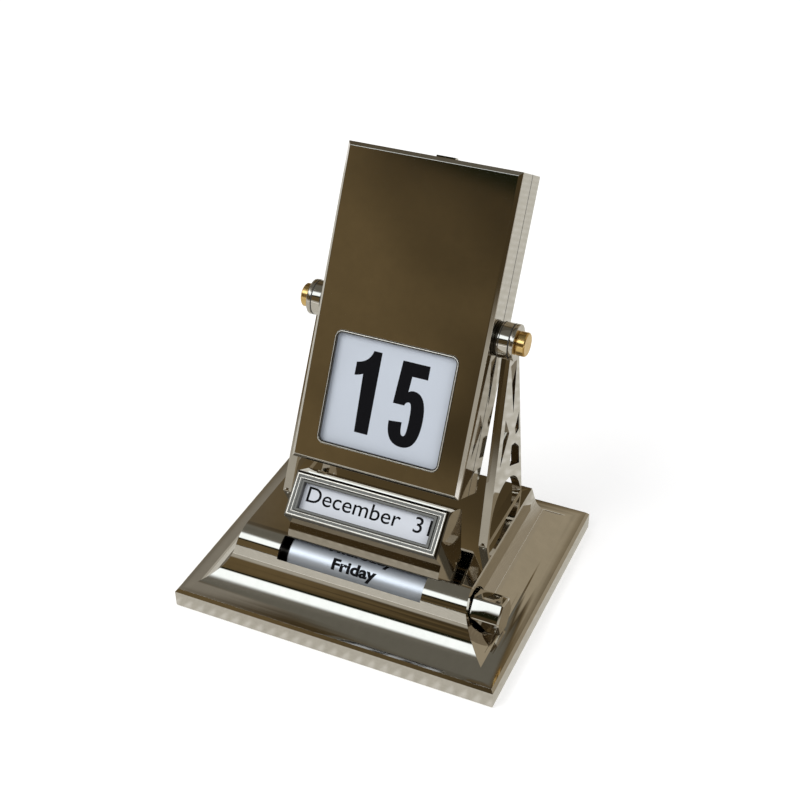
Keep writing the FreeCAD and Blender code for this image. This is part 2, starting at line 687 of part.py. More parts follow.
def box_body(name, low, high):
    """A block as a body, whose own placement stays free."""
    block = body(name)
    path = rectangle(low[0], high[0], low[1], high[1])
    pad(block, outline(block, name + "_outline", "XY_Plane", path, low[2]),
        "(%s) - (%s)" % (high[2], low[2]))
    return block


def tile(name, near):
    low = "0 - case_length / 2 + case_wall + tile_gap"
    return box_body(name, ("0 - tile_width / 2", near, low),
                    ("tile_width / 2", near + " + tile_thickness", low + " + tile_height"))


def make_tiles():
    first = "0 - case_thickness / 2 + case_wall + tile_gap"
    count = int(value("tile_column"))
    on_case(tile("front_tile", first), "date_tile")
    stored = [tile("stored_tile%d" % index, first + " + tile_pitch * %d" % index)
              for index in range(1, count)]
    back = "0 - (%s) - tile_thickness" % first
    stored += [tile("rear_tile%d" % index, back + " - tile_pitch * %d" % index)
               for index in range(count)]
    on_case(group("stored_tiles", stored), "tile_stack")


# The weekday roller


def make_roller():
    length = "drum_left + drum_right"
    node(tube("drum", "drum_radius", "shaft_radius", "0 - drum_left", length, AXIS),
         "weekday_drum")
    node(tube("label", "drum_radius + label_thickness", "drum_radius",
              "0 - drum_left + label_inset", length + " - label_inset * 2", AXIS),
         "weekday_label")
    web_end = "web_left + web_thickness"
    left = "(%s + clip_gap + clip_thickness + shaft_tip)" % web_end
    node(rod("shaft", "shaft_radius", "0 - " + left, left + " + knob_start + shaft_in_knob", AXIS),
         "roller_shaft")
    node(tube("clip", "clip_radius", "shaft_radius",
              "0 - (%s) - clip_gap - clip_thickness" % web_end,
              "clip_thickness", AXIS), "roller_clip")
    node(tube("bush_left", "roller_bush_radius", "shaft_radius + running_gap",
              "0 - (%s)" % web_end, "web_thickness", AXIS), "roller_bush_left")
    node(tube("bush_right", "roller_bush_radius", "shaft_radius + running_gap",
              "scoop_floor - scoop_end_wall", "scoop_end_wall", AXIS), "roller_bush_right")


def make_knob():
    """A hexagonal knob with bevelled ends."""
    blank = body("knob_blank")
    path = []
    for step in range(6):
        angle = "(%d - knob_turn)" % (210 + 60 * step)
        reach = "knob_width / 2 / cos(30)"
        path.append((reach + " * cos(%s)" % angle, reach + " * sin(%s)" % angle))
    pad(blank, outline(blank, "knob_hexagon", "YZ_Plane", path, "knob_start"), "knob_length")
    start, end = value("knob_start"), value("knob_start + knob_length")
    bevel(blank, lambda point: min(abs(point.x - start), abs(point.x - end)) < 1e-6,
          "knob_chamfer")
    place(blank, "0", *AXIS)
    hole = rod("knob_hole", "shaft_radius", "knob_start", "shaft_in_knob", AXIS)
    node(cut("knob", blank, hole), "weekday_knob")


def write_parts():
    doc.recompute()
    for item in doc.Objects:
        if "Invalid" in item.State or "Error" in item.State:
            raise RuntimeError("failed: %s %s" % (item.Name, item.State))
    for item in nodes:
        shape = item.Shape
        if shape.isNull() or not shape.isValid() or not shape.Solids:
            raise RuntimeError("bad shape: " + item.Label)
    os.makedirs("parts", exist_ok=True)
    for item in nodes:
        item.Shape.exportStep(os.path.join("parts", item.Label + ".step"))
        print("%-22s solids %d, volume %.1f" % (item.Label, len(item.Shape.Solids),
                                                item.Shape.Volume))


def main():
    fill_sheet()
    make_casting()
    make_bottom()
    make_tower("tower_right", "")
    make_tower("tower_left", "0 - ")
    make_nuts()
    make_pivot_bushes()
    make_month_holder()
    make_month_frame()
    make_month_cards()
    make_holder_screws()
    make_shell("case_front_shell", "front_shell_depth", 0)
    make_shell("case_rear_shell", "(case_thickness - front_shell_depth - seam_gap)", 180)
    make_bezel("front_bezel", 0)
    make_bezel("rear_bezel", 180)
    make_pivot("right")
    make_pivot("left")
    make_guide_and_catch()
    make_tiles()
    make_roller()
    make_knob()
    write_parts()


main()
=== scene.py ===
"""Looks of a perpetual desk calendar: finishes, rounded edges, beads, frame mouldings and lettering."""

import json
import math

import bmesh
import bpy
from mathutils import Matrix, Vector


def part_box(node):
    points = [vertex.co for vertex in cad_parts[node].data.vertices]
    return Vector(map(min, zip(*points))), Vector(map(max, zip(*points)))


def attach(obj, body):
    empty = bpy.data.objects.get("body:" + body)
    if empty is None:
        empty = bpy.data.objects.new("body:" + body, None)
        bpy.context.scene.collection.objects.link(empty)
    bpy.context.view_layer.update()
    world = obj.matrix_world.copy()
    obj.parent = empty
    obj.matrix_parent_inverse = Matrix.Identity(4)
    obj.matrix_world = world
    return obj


bl_info = {
    "name": "Desk Calendar Looks",
    "version": (1, 0, 0),
    "blender": (4, 5, 0),
    "location": "View3D > Sidebar > Calendar",
    "description": "Finishes, beads and lettering of a perpetual desk calendar",
    "category": "Object",
}

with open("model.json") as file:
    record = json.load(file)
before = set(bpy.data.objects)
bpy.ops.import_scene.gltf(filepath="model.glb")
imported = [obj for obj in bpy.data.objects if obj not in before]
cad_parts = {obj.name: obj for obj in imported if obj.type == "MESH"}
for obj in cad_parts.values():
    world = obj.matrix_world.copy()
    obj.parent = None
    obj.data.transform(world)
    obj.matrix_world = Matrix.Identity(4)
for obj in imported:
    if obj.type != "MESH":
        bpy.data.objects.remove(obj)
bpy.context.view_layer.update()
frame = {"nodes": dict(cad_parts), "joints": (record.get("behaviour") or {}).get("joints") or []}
MM = 0.001

# Places of the moving and sloping pieces, read from the frame
PIVOT = Vector(next(j for j in frame["joints"] if j["name"] == "case_flip")["pos_m"])
CASE_UP = Vector(next(j for j in frame["joints"] if j["name"] == "tile_slide")["axis"]).normalized()
ROLLER = Vector(next(j for j in frame["joints"] if j["name"] == "weekday_roll")["pos_m"])
CARD_UP = Vector(next(j for j in frame["joints"] if j["name"] == "month_card_lift")["axis"]).normalized()
ACROSS = Vector((1, 0, 0))

# What counts as one corner, as an edge to round, and as a crease on smooth pieces
WELD_DISTANCE = 0.002 * MM
ROUNDED_ANGLE = 32
CREASE_ANGLE = 60

# The dark bands of painted shade in the gaps between the pivot's rings, and how far they lie from washer and
# spacer
GROOVE_SHADE_RADIUS = 5.47 * MM
GROOVE_SHADE_WIDTH = 0.28 * MM
GROOVE_SHADE_FROM_WASHER = 0.30 * MM
GROOVE_SHADE_FROM_SPACER = 0.25 * MM

# The painted highlight line on a window bead: its place from the bead's outline, its width, its height's
# share of that width, and the radius of its corners
CROWN_INSET = 0.27 * MM
CROWN_WIDTH = 0.42 * MM
CROWN_RISE = 0.6
CROWN_CORNER = 2.08 * MM

# The month frame's beads, in the painted highlight finish, by name, place from the frame's outline, and
# width; and how far below the frame's crest they start
MONTH_FRAME_BEADS = (("month_frame_lip", 0.95 * MM, 0.5 * MM), ("month_frame_step", 2.05 * MM, 0.3 * MM))
MONTH_BEAD_DEPTH = 0.50 * MM

# Where the card's words start from its left edge, and their baseline's share of its height
MONTH_MARGIN = 2.0 * MM
MONTH_BASELINE = 0.40

# The weekdays, the angle at which their window faces the eye, and the middle of the words across
WEEKDAYS = ("Monday", "Tuesday", "Wednesday", "Thursday", "Friday", "Saturday", "Sunday")
WINDOW_ANGLE = 50.0
WEEKDAY_MIDDLE = 0.75 * MM

# How finely words are sliced before they are bent, and how tall the built-in font's capitals are for a
# size of one
SLICE_HEIGHT = 0.25 * MM
CAPITAL_SHARE = 0.729

# The dark strip of painted shadow in the weekday window, seen from the roller's middle: half its length,
# its height, and where it begins and ends on the way out of the window
SHADOW_STRIP_HALF_LENGTH = 23.6 * MM
SHADOW_STRIP_HEIGHT = 3.72 * MM
SHADOW_STRIP_START = 5.45 * MM
SHADOW_STRIP_END = 7.0 * MM

# The floor and the mirrored cloth from their middle to their edges, the mirrored room, and what the
# lamps point at
FLOOR_REACH = 6.0
CLOTH_REACH = 0.6
ROOM_RADIUS = 1.2
LAMP_AIM = Vector((0, 0, 0.05))

# The date's two numerals as (x, y) corners, or (x, y, bend x, bend y, bend x, bend y) for a curve to
# x, y by way of two bend points, in millimetres on the tile, upright, measured from the pivot
DIGIT_ONE = [
    (-4.6, -11.1), (-7.3, -11.1), (-12.2, -15.4, -7.9, -13.6, -9.6, -15.0), (-12.2, -19.4),
    (-9.0, -18.2, -10.9, -19.2, -9.8, -18.8), (-9.0, -36.2), (-4.6, -36.2),
]
DIGIT_FIVE = [
    (2.3, -11.8), (11.0, -11.8), (11.0, -15.9), (6.0, -15.9), (5.7, -20.6),
    (7.4, -20.0, 6.2, -20.2, 6.7, -20.0), (11.8, -27.9, 10.4, -20.0, 11.8, -23.0),
    (6.5, -37.2, 11.8, -33.6, 10.4, -37.2), (1.2, -30.2, 2.8, -37.2, 1.2, -34.6), (5.4, -29.8),
    (6.5, -33.8, 5.4, -32.6, 5.6, -33.8), (7.5, -28.2, 7.4, -33.8, 7.5, -31.0),
    (6.5, -23.6, 7.5, -25.4, 7.3, -23.6), (5.2, -24.8, 5.8, -23.6, 5.3, -24.1), (1.5, -24.8),
]


def facing(up, origin):
    """A frame whose X runs to the right, Y up the face and Z out of it."""
    out = ACROSS.cross(up)
    columns = Matrix((ACROSS, up, out)).transposed()
    return Matrix.Translation(origin) @ columns.to_4x4()


def reach(node, axis):
    """The lowest and highest extent of a node along an axis."""
    spots = [axis.dot(vertex.co) for vertex in frame["nodes"][node].data.vertices]
    return min(spots), max(spots)


class Finishes(bpy.types.PropertyGroup):
    nickel: bpy.props.FloatVectorProperty(
        name="Nickel", description="Colour of the polished nickel plate", subtype="COLOR", size=3,
        min=0, max=1, default=(0.62, 0.585, 0.53))
    brass: bpy.props.FloatVectorProperty(
        name="Brass", description="Colour of the pivot caps", subtype="COLOR", size=3,
        min=0, max=1, default=(0.82, 0.56, 0.22))
    tile: bpy.props.FloatVectorProperty(
        name="Tile", description="Colour of the date tiles", subtype="COLOR", size=3,
        min=0, max=1, default=(0.60, 0.655, 0.74))
    card: bpy.props.FloatVectorProperty(
        name="Card", description="Colour of the month cards", subtype="COLOR",
        size=3, min=0, max=1, default=(0.70, 0.74, 0.81))
    sleeve: bpy.props.FloatVectorProperty(
        name="Sleeve", description="Colour of the satin weekday sleeve", subtype="COLOR", size=3,
        min=0, max=1, default=(0.50, 0.545, 0.61))
    ink: bpy.props.FloatVectorProperty(
        name="Ink", description="Colour of the printing", subtype="COLOR", size=3,
        min=0, max=1, default=(0.003, 0.003, 0.004))
    edge: bpy.props.FloatProperty(
        name="Edge", description="Width of the rounding on polished edges", unit="LENGTH",
        min=0, max=0.001, default=0.18 * MM)


class Lettering(bpy.types.PropertyGroup):
    month: bpy.props.StringProperty(
        name="Month card", description="What the card in the holder says", default="December  31")
    weekday: bpy.props.IntProperty(
        name="Weekday", description="Which name faces the window, counted from Monday", min=0, max=6,
        default=4)
    month_height: bpy.props.FloatProperty(
        name="Month height", description="Height of the card's capitals", unit="LENGTH",
        default=4.95 * MM)
    month_stretch: bpy.props.FloatProperty(
        name="Month stretch", description="How wide the card's letters run", default=1.08)
    weekday_height: bpy.props.FloatProperty(
        name="Weekday height", description="Height of the weekday's capitals", unit="LENGTH",
        default=3.5 * MM)
    weekday_stretch: bpy.props.FloatProperty(
        name="Weekday stretch", description="How wide the weekday's letters run", default=1.22)
    ink_depth: bpy.props.FloatProperty(
        name="Ink depth", description="How far the printing stands off its card", unit="LENGTH",
        default=0.012 * MM)


class Studio(bpy.types.PropertyGroup):
    azimuth: bpy.props.FloatProperty(
        name="Azimuth", description="Camera's turn to the right of the front", subtype="ANGLE",
        default=math.radians(24.85))
    elevation: bpy.props.FloatProperty(
        name="Elevation", description="Camera's height above the horizon", subtype="ANGLE",
        default=math.radians(34.92))
    roll: bpy.props.FloatProperty(
        name="Roll", description="Camera's roll", subtype="ANGLE", default=math.radians(-0.70))
    distance: bpy.props.FloatProperty(
        name="Distance", description="From the camera to what it looks at", unit="LENGTH",
        default=0.412)
    target: bpy.props.FloatVectorProperty(
        name="Target", description="What the camera looks at", subtype="TRANSLATION", unit="LENGTH",
        size=3, default=(0.00378, 0.00174, 0.06466))
    lens: bpy.props.FloatProperty(
        name="Lens", description="Focal length", unit="CAMERA", default=63)
    key: bpy.props.FloatProperty(
        name="Key", description="Power of the large soft lamp", unit="POWER", default=7.0)
    ambient: bpy.props.FloatProperty(
        name="Ambient", description="Strength of the surroundings on matt surfaces", default=0.45)
    card: bpy.props.FloatVectorProperty(
        name="Mirrored dark", description="Colour of the dark that polished metal reflects ahead",
        subtype="COLOR", size=3, min=0, max=1, default=(0.082, 0.059, 0.028))
    strip: bpy.props.FloatVectorProperty(
        name="Mirrored strip", description="Colour of the window light that the mouldings reflect",
        subtype="COLOR", size=3, min=0, max=4, default=(1.55, 1.70, 1.80))


class Value:
    """A shader socket that takes part in Python arithmetic."""

    def __init__(self, shader, socket):
        self.shader = shader
        self.socket = socket

    def math(self, operation, *others):
        values = dict(enumerate((self,) + others))
        return self.shader.node("ShaderNodeMath", {"operation": operation}, values)

    def __add__(self, other):
        return self.math("ADD", other)

    __radd__ = __add__

    def __mul__(self, other):
        return self.math("MULTIPLY", other)

    __rmul__ = __mul__

    def __sub__(self, other):
        return self.math("SUBTRACT", other)

    def __rsub__(self, other):
        return (self * -1) + other


class Shader:
    """A material or a world under construction."""

    def __init__(self, owner, output):
        self.owner = owner
        owner.use_nodes = True
        self.tree = owner.node_tree
        self.tree.nodes.clear()
        self.end = self.tree.nodes.new(output)

    def node(self, kind, settings=None, inputs=None, output=0):
        """Adds a node: its settings first, then a value or a link for each named socket."""
        made = self.tree.nodes.new(kind)
        for key, setting in (settings or {}).items():
            if key == "stops":
                self.set_stops(made.color_ramp, setting)
            else:
                setattr(made, key, setting)
        for key, value in (inputs or {}).items():
            self.feed(made.inputs[key], value)
        return Value(self, made.outputs[output])

    def feed(self, socket, value):
        if isinstance(value, Value):
            self.tree.links.new(value.socket, socket)
        elif socket.type == "RGBA" and len(value) == 3:
            socket.default_value = tuple(value) + (1,)
        else:
            socket.default_value = value

    def set_stops(self, ramp, stops):
        while len(ramp.elements) < len(stops):
            ramp.elements.new(1)
        for element, (position, level) in zip(ramp.elements, stops):
            element.position = position
            element.color = (level, level, level, 1)

    def noise(self, place, scale, detail=2, roughness=0.5):
        return self.node("ShaderNodeTexNoise", {"noise_dimensions": "3D"},
                         {"Vector": place, "Scale": scale, "Detail": detail, "Roughness": roughness}, "Fac")

    def ramp(self, value, *stops):
        return self.node("ShaderNodeValToRGB", {"stops": stops}, {"Fac": value}, "Color")

    def blend(self, factor, first, second):
        return self.node("ShaderNodeMix", {"data_type": "RGBA"}, {0: factor, 6: first, 7: second}, 2)

    def stretched(self, place, scale):
        return self.node("ShaderNodeMapping", {"vector_type": "POINT"}, {"Vector": place, "Scale": scale})

    def object_place(self):
        return self.node("ShaderNodeTexCoord", {}, {}, "Object")

    def parts(self, vector):
        """The three parts of a vector."""
        first = self.node("ShaderNodeSeparateXYZ", {}, {0: vector})
        return [Value(self, output) for output in first.socket.node.outputs]

    def rising(self, value, low, high):
        """0 below low, 1 above high, and a smooth climb between them."""
        return self.node("ShaderNodeMapRange", {"interpolation_type": "SMOOTHSTEP"},
                         {"Value": value, "From Min": low, "From Max": high}, "Result")

    def band(self, value, low, high, soft):
        """1 from low to high, with soft ends."""
        return self.rising(value, low - soft, low + soft) * (1 - self.rising(value, high - soft, high + soft))

    def bump(self, height, distance, strength=1.0):
        return self.node("ShaderNodeBump", {}, {"Height": height, "Distance": distance, "Strength": strength},
                         "Normal")

    def finish(self, surface):
        self.tree.links.new(surface.socket, self.end.inputs["Surface"])
        return self.owner


def scaled(colour, factor):
    return tuple(min(1, channel * factor) for channel in colour)


def new_finish(name):
    return Shader(bpy.data.materials.new(name), "ShaderNodeOutputMaterial")


def polished_nickel(name, ripple, haze, lines=0.012, tone=1.0):
    """Mirror plate: a warm silver with faint hairlines, a little haze and the ripple of the metal below."""
    # A tone below 1 darkens the colour, as painted shade on the window frames.
    colour = scaled(bpy.context.scene.calendar_finishes.nickel, tone)
    shader = new_finish(name)
    place = shader.object_place()
    swell = shader.noise(place, 70, 1)
    cloud = shader.noise(place, 240, 4, 0.6)
    hairline = shader.noise(shader.stretched(place, (300, 5200, 300)), 1, 3, 0.7)
    specks = shader.ramp(shader.noise(place, 1700, 2, 0.6), (0.70, 0), (0.76, 1))
    stain = shader.ramp(cloud, (0.35, 0), (0.75, 1))
    roughness = haze + stain * 0.020 + specks * 0.10
    height = swell * ripple + hairline * lines
    surface = shader.node("ShaderNodeBsdfPrincipled", {}, {
        "Base Color": shader.blend(stain, colour, scaled(colour, 0.92)),
        "Metallic": 1.0,
        "Roughness": roughness,
        "Normal": shader.bump(height, 0.1 * MM, 0.5),
    }, "BSDF")
    return shader.finish(surface)


def turned_metal(name, colour, roughness, line_scale):
    """Machined metal with fine turning marks round the X axis."""
    shader = new_finish(name)
    place = shader.object_place()
    marks = shader.noise(shader.stretched(place, (line_scale, 60, 60)), 1, 2, 0.6)
    tarnish = shader.ramp(shader.noise(place, 420, 3, 0.6), (0.3, 0), (0.8, 1))
    surface = shader.node("ShaderNodeBsdfPrincipled", {}, {
        "Base Color": shader.blend(tarnish, colour, scaled(colour, 0.78)),
        "Metallic": 1.0,
        "Roughness": roughness + marks * 0.08 + tarnish * 0.05,
        "Normal": shader.bump(marks, 0.02 * MM, 0.35),
    }, "BSDF")
    return shader.finish(surface)


def printed_stock(name, colour, gloss, grain):
    """Smooth white card or plastic with a faint mottle."""
    shader = new_finish(name)
    place = shader.object_place()
    mottle = shader.noise(place, 900, 4, 0.6)
    shade = shader.ramp(shader.noise(place, 60, 2), (0.3, 0), (0.8, 1))
    surface = shader.node("ShaderNodeBsdfPrincipled", {}, {
        "Base Color": shader.blend(shade, colour, scaled(colour, 0.955)),
        "Roughness": gloss + mottle * 0.12,
        "Normal": shader.bump(mottle, grain, 0.4),
    }, "BSDF")
    return shader.finish(surface)


def satin_sleeve():
    """Blue-grey film with a satin sheen, a little rubbed along its length."""
    colour = tuple(bpy.context.scene.calendar_finishes.sleeve)
    shader = new_finish("satin_sleeve")
    place = shader.object_place()
    rub = shader.noise(shader.stretched(place, (60, 1500, 1500)), 1, 3, 0.6)
    surface = shader.node("ShaderNodeBsdfPrincipled", {}, {
        "Base Color": shader.blend(rub, colour, scaled(colour, 0.86)),
        "Metallic": 0.62,
        "Roughness": 0.30 + rub * 0.10,
        "Normal": shader.bump(rub, 0.01 * MM, 0.4),
    }, "BSDF")
    return shader.finish(surface)


def printing_ink():
    colour = tuple(bpy.context.scene.calendar_finishes.ink)
    shader = new_finish("printing_ink")
    uneven = shader.noise(shader.object_place(), 1400, 3, 0.6)
    surface = shader.node("ShaderNodeBsdfPrincipled", {}, {
        "Base Color": shader.blend(uneven, colour, scaled(colour, 2.2)),
        "Roughness": 0.70 + uneven * 0.15,
        "Specular IOR Level": 0.08,
    }, "BSDF")
    return shader.finish(surface)


def pressed_felt():
    """Black felt: matted fibres that catch a little light."""
    shader = new_finish("pressed_felt")
    place = shader.object_place()
    fibres = shader.noise(place, 2600, 6, 0.75)
    surface = shader.node("ShaderNodeBsdfPrincipled", {}, {
        "Base Color": shader.blend(fibres, (0.012, 0.012, 0.013), (0.055, 0.054, 0.056)),
        "Roughness": 0.95,
        "Sheen Weight": 0.3,
        "Normal": shader.bump(fibres, 0.15 * MM, 0.9),
    }, "BSDF")
    return shader.finish(surface)


def moulded_plastic(name, colour):
    shader = new_finish(name)
    place = shader.object_place()
    grain = shader.noise(place, 1500, 3, 0.6)
    surface = shader.node("ShaderNodeBsdfPrincipled", {}, {
        "Base Color": shader.blend(grain, colour, scaled(colour, 1.3)),
        "Roughness": 0.42 + grain * 0.18,
        "Normal": shader.bump(grain, 0.03 * MM, 0.5),
    }, "BSDF")
    return shader.finish(surface)


FINISH_MAKERS = {
    "cast_nickel": lambda: polished_nickel("cast_nickel", 0.10, 0.035, 0.006),
    "sheet_nickel": lambda: polished_nickel("sheet_nickel", 0.16, 0.045),
    # A lighter, rougher copy of the nickel: its colour paints the bright highlight lines on bead crowns.
    "painted_highlight_bead": lambda: turned_metal("painted_highlight_bead", (0.86, 0.85, 0.81), 0.42, 900),
    # The window frames' nickel, darkened to 0.17 of the plate's colour: painted shade standing for the dark
    # that the frames reflect.
    "frame_nickel_painted_shade": lambda: polished_nickel("frame_nickel_painted_shade", 0.12, 0.060, 0.006, 0.17),
    "turned_nickel": lambda: turned_metal(
        "turned_nickel", tuple(bpy.context.scene.calendar_finishes.nickel), 0.08, 4200),
    "turned_brass": lambda: turned_metal(
        "turned_brass", tuple(bpy.context.scene.calendar_finishes.brass), 0.12, 3600),
    "turned_steel": lambda: turned_metal("turned_steel", (0.50, 0.50, 0.50), 0.25, 3000),
    "blackened_steel": lambda: turned_metal("blackened_steel", (0.055, 0.050, 0.040), 0.22, 3000),
    "white_tile": lambda: printed_stock(
        "white_tile", tuple(bpy.context.scene.calendar_finishes.tile), 0.30, 0.004 * MM),
    "white_card": lambda: printed_stock(
        "white_card", tuple(bpy.context.scene.calendar_finishes.card), 0.50, 0.010 * MM),
    "satin_sleeve": satin_sleeve,
    "printing_ink": printing_ink,
    "pressed_felt": pressed_felt,
    "black_plastic": lambda: moulded_plastic("black_plastic", (0.020, 0.020, 0.021)),
    "grey_plastic": lambda: moulded_plastic("grey_plastic", (0.075, 0.078, 0.082)),
}


def finish_of(name):
    return bpy.data.materials.get(name) or FINISH_MAKERS[name]()


def dress(node, finish, edge=None):
    """Gives a node of the frame its finish, and rounds its edges where a width is given."""
    piece = frame["nodes"][node]
    piece.data.materials.clear()
    piece.data.materials.append(finish_of(finish))
    if edge:
        round_edges(piece, edge)


def round_edges(piece, width):
    """Rounds the sharp edges, and keeps the flat faces' shading flat."""
    weld = piece.modifiers.new("joined", "WELD")
    weld.merge_threshold = WELD_DISTANCE
    bevel = piece.modifiers.new("rounded", "BEVEL")
    bevel.limit_method = "ANGLE"
    bevel.angle_limit = math.radians(ROUNDED_ANGLE)
    bevel.width = width
    bevel.segments = 2
    bevel.harden_normals = False
    bevel.face_strength_mode = "FSTR_ALL"
    bevel.use_clamp_overlap = True
    bevel.miter_outer = "MITER_ARC"
    even = piece.modifiers.new("even", "WEIGHTED_NORMAL")
    even.weight = 100
    even.use_face_influence = True


def new_piece(name, mesh, finish, body):
    """A finished mesh as a piece that rides on a body."""
    piece = bpy.data.objects.new(name, mesh)
    bpy.context.scene.collection.objects.link(piece)
    mesh.materials.clear()
    mesh.materials.append(finish_of(finish))
    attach(piece, body)
    return piece


def mesh_of(name, form):
    """Turns a form into a mesh, and frees the form."""
    mesh = bpy.data.meshes.new(name)
    form.to_mesh(mesh)
    form.free()
    return mesh


def swept_ring(name, path, profile, matrix):
    """A closed moulding: the profile's (outwards, up) points at every step of a closed path of
    (x, y, outward direction) steps."""
    form = bmesh.new()
    rings = []
    for x, y, out in path:
        ring = [form.verts.new(matrix @ Vector((x + out[0] * away, y + out[1] * away, up)))
                for away, up in profile]
        rings.append(ring)
    count = len(profile)
    for index, ring in enumerate(rings):
        after = rings[(index + 1) % len(rings)]
        for step in range(count):
            other = (step + 1) % count
            form.faces.new((ring[step], after[step], after[other], ring[other]))
    bmesh.ops.recalc_face_normals(form, faces=form.faces)
    return mesh_of(name, form)


def corner_path(left, right, low, high, radius, steps):
    """Steps round a rectangle, with rounded corners where the radius isn't zero."""
    path = []
    centres = [(right - radius, low + radius, -90), (right - radius, high - radius, 0),
               (left + radius, high - radius, 90), (left + radius, low + radius, 180)]
    for x, y, start in centres:
        if radius == 0:
            angle = math.radians(start + 45)
            path.append((x, y, (math.copysign(1, math.cos(angle)), math.copysign(1, math.sin(angle)))))
            continue
        for step in range(steps + 1):
            angle = math.radians(start + 90 * step / steps)
            out = (math.cos(angle), math.sin(angle))
            path.append((x + radius * out[0], y + radius * out[1], out))
    return path


def half_round(centre, width, base, rise, steps):
    """Points of a bead's section, from its inner foot over its crown to its outer foot."""
    points = []
    for step in range(steps + 1):
        angle = math.pi * (1 - step / steps)
        points.append((centre + width / 2 * math.cos(angle), base + rise * math.sin(angle)))
    return points


def shade_smooth(mesh):
    for face in mesh.polygons:
        face.use_smooth = True
    mesh.set_sharp_from_angle(angle=math.radians(CREASE_ANGLE))


def base_pieces():
    edge = bpy.context.scene.calendar_finishes.edge
    dress("base_casting", "cast_nickel", edge)
    dress("bottom_plate", "turned_steel")
    dress("base_screws", "turned_steel")
    dress("felt_pad", "pressed_felt")
    dress("roller_bush_left", "turned_brass")
    dress("roller_bush_right", "turned_brass")


def tower_pieces():
    edge = bpy.context.scene.calendar_finishes.edge
    for side in ("left", "right"):
        dress("tower_" + side, "cast_nickel", edge)
        dress("pivot_bush_" + side, "turned_brass")
    dress("tower_nuts", "turned_steel")


def pivot_pieces():
    edge = bpy.context.scene.calendar_finishes.edge
    for side in ("left", "right"):
        dress("brass_cap_" + side, "turned_brass", edge * 0.6)
        dress("outer_washer_" + side, "turned_nickel", edge)
        dress("inner_spacer_" + side, "blackened_steel", edge * 0.8)
        dress("pivot_pin_" + side, "turned_steel")
        sign = 1 if side == "right" else -1
        washer = min(abs(end) for end in reach("outer_washer_" + side, ACROSS))
        spacer = max(abs(end) for end in reach("inner_spacer_" + side, ACROSS))
        # Black bands that paint the shade in the gaps beside the washer and the spacer.
        starts = {"outer_groove_": washer - GROOVE_SHADE_FROM_WASHER, "inner_groove_": spacer + GROOVE_SHADE_FROM_SPACER}
        for name, start in starts.items():
            mesh = ring_band(name + side, GROOVE_SHADE_RADIUS, sign * start, sign * (start + GROOVE_SHADE_WIDTH))
            new_piece(name + side, mesh, "black_plastic", "base")


def ring_band(name, radius, start, end):
    """A narrow band round the pivot line."""
    form = bmesh.new()
    steps = 72
    rings = []
    for across in (start, end):
        rings.append([form.verts.new(PIVOT + Vector((across, radius * math.cos(2 * math.pi * step / steps),
                                                     radius * math.sin(2 * math.pi * step / steps))))
                      for step in range(steps)])
    for step in range(steps):
        after = (step + 1) % steps
        form.faces.new((rings[0][step], rings[0][after], rings[1][after], rings[1][step]))
    mesh = mesh_of(name, form)
    shade_smooth(mesh)
    return mesh


def case_pieces():
    edge = bpy.context.scene.calendar_finishes.edge
    dress("case_front_shell", "sheet_nickel", edge * 1.4)
    dress("case_rear_shell", "sheet_nickel", edge * 1.4)
    dress("case_catch", "cast_nickel", edge * 0.6)
    dress("tile_guide", "black_plastic")
    for side in ("front", "rear"):
        # The window bead: nickel painted darker, as painted shade.
        dress(side + "_bezel", "frame_nickel_painted_shade", edge * 0.7)
        # The crown bead: a lighter metal that paints the bead's highlight line.
        new_piece(side + "_bezel_crown", bezel_painted_highlight(side), "painted_highlight_bead", "flip_case")
    new_piece("case_seam", seam_mesh(), "black_plastic", "flip_case")


def bezel_painted_highlight(side):
    """A half-round along the crown of a window bead, in a lighter metal whose colour paints the bead's
    highlight line.
    """
    out = ACROSS.cross(CASE_UP)
    low, high = reach(side + "_bezel", CASE_UP)
    left, right = reach(side + "_bezel", ACROSS)
    spots = reach(side + "_bezel", out)
    facing_out = out if side == "front" else -out
    crest = spots[1] if side == "front" else -spots[0]
    rise = CROWN_WIDTH * CROWN_RISE
    path = corner_path(left + CROWN_INSET, right - CROWN_INSET, low + CROWN_INSET, high - CROWN_INSET,
                       CROWN_CORNER, 8)
    profile = half_round(0, CROWN_WIDTH, crest - rise, rise, 6)
    columns = Matrix((ACROSS, CASE_UP, facing_out)).transposed().to_4x4()
    mesh = swept_ring(side + "_bezel_crown", path, profile, columns)
    shade_smooth(mesh)
    return mesh


def seam_mesh():
    """The dark line round the case's sides, where its two shells meet."""
    out = ACROSS.cross(CASE_UP)
    depth = (reach("case_front_shell", out)[0] + reach("case_rear_shell", out)[1]) / 2
    low, high = reach("case_front_shell", CASE_UP)
    left, right = reach("case_front_shell", ACROSS)
    proud, half = 0.010 * MM, 0.17 * MM
    path = [(left - proud, low - proud), (right + proud, low - proud), (right + proud, high + proud),
            (left - proud, high + proud)]
    form = bmesh.new()
    rings = [[form.verts.new(ACROSS * x + CASE_UP * up + out * (depth + side)) for x, up in path]
             for side in (-half, half)]
    for index in range(4):
        after = (index + 1) % 4
        form.faces.new((rings[0][index], rings[0][after], rings[1][after], rings[1][index]))
    return mesh_of("case_seam", form)


def tile_pieces():
    dress("date_tile", "white_tile")
    dress("tile_stack", "white_tile")
    out = ACROSS.cross(CASE_UP)
    face = reach("date_tile", out)[1]
    middle = out.dot(PIVOT)
    ink_depth = bpy.context.scene.calendar_lettering.ink_depth
    matrix = facing(CASE_UP, PIVOT + out * (face - middle + ink_depth))
    for name, outline in (("date_digit_one", DIGIT_ONE), ("date_digit_five", DIGIT_FIVE)):
        new_piece(name, flat_outline(name, outline, matrix), "printing_ink", "date_tiles")


